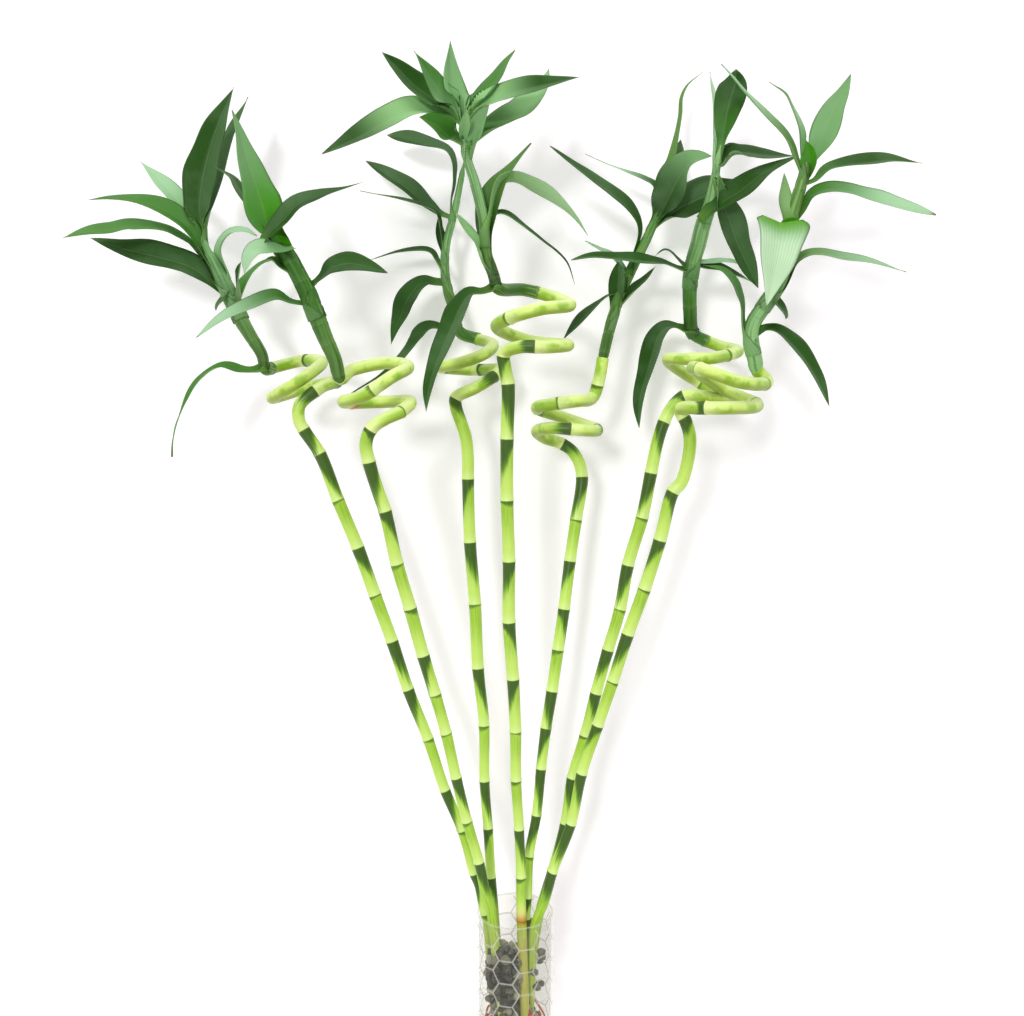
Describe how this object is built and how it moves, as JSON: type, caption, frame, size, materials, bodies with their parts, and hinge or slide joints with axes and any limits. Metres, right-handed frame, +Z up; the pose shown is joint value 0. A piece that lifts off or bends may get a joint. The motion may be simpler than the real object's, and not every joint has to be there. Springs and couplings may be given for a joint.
{
  "type": "lucky bamboo",
  "caption": "Lucky bamboo: curled green canes with leafy shoots, standing in a glass vase of dark pebbles and water.",
  "frame": {"origin": "middle of the vase's underside, on the surface that it stands on", "axes": "+Z up along the vase, -Y to the front, +X to the right of the front"},
  "size_m": [0.6042, 0.1925, 0.7746],
  "materials": {
    "glass": "gloss",
    "water": "gloss",
    "pebble": "satin",
    "cane": "satin",
    "leaf": "satin"
  },
  "bodies": {
    "root": {"glass_vase": "glass", "pebble_bed": "pebble", "water": "water", "cane_1": "cane", "cane_2": "cane", "cane_3": "cane", "cane_4": "cane", "cane_5": "cane", "cane_6": "cane", "cane_7": "cane", "leafy_shoot_1": "leaf", "leafy_shoot_2": "leaf", "leafy_shoot_3": "leaf", "leafy_shoot_4": "leaf", "leafy_shoot_5": "leaf", "leafy_shoot_6": "leaf", "leafy_shoot_7": "leaf"}
  },
  "joints": []
}
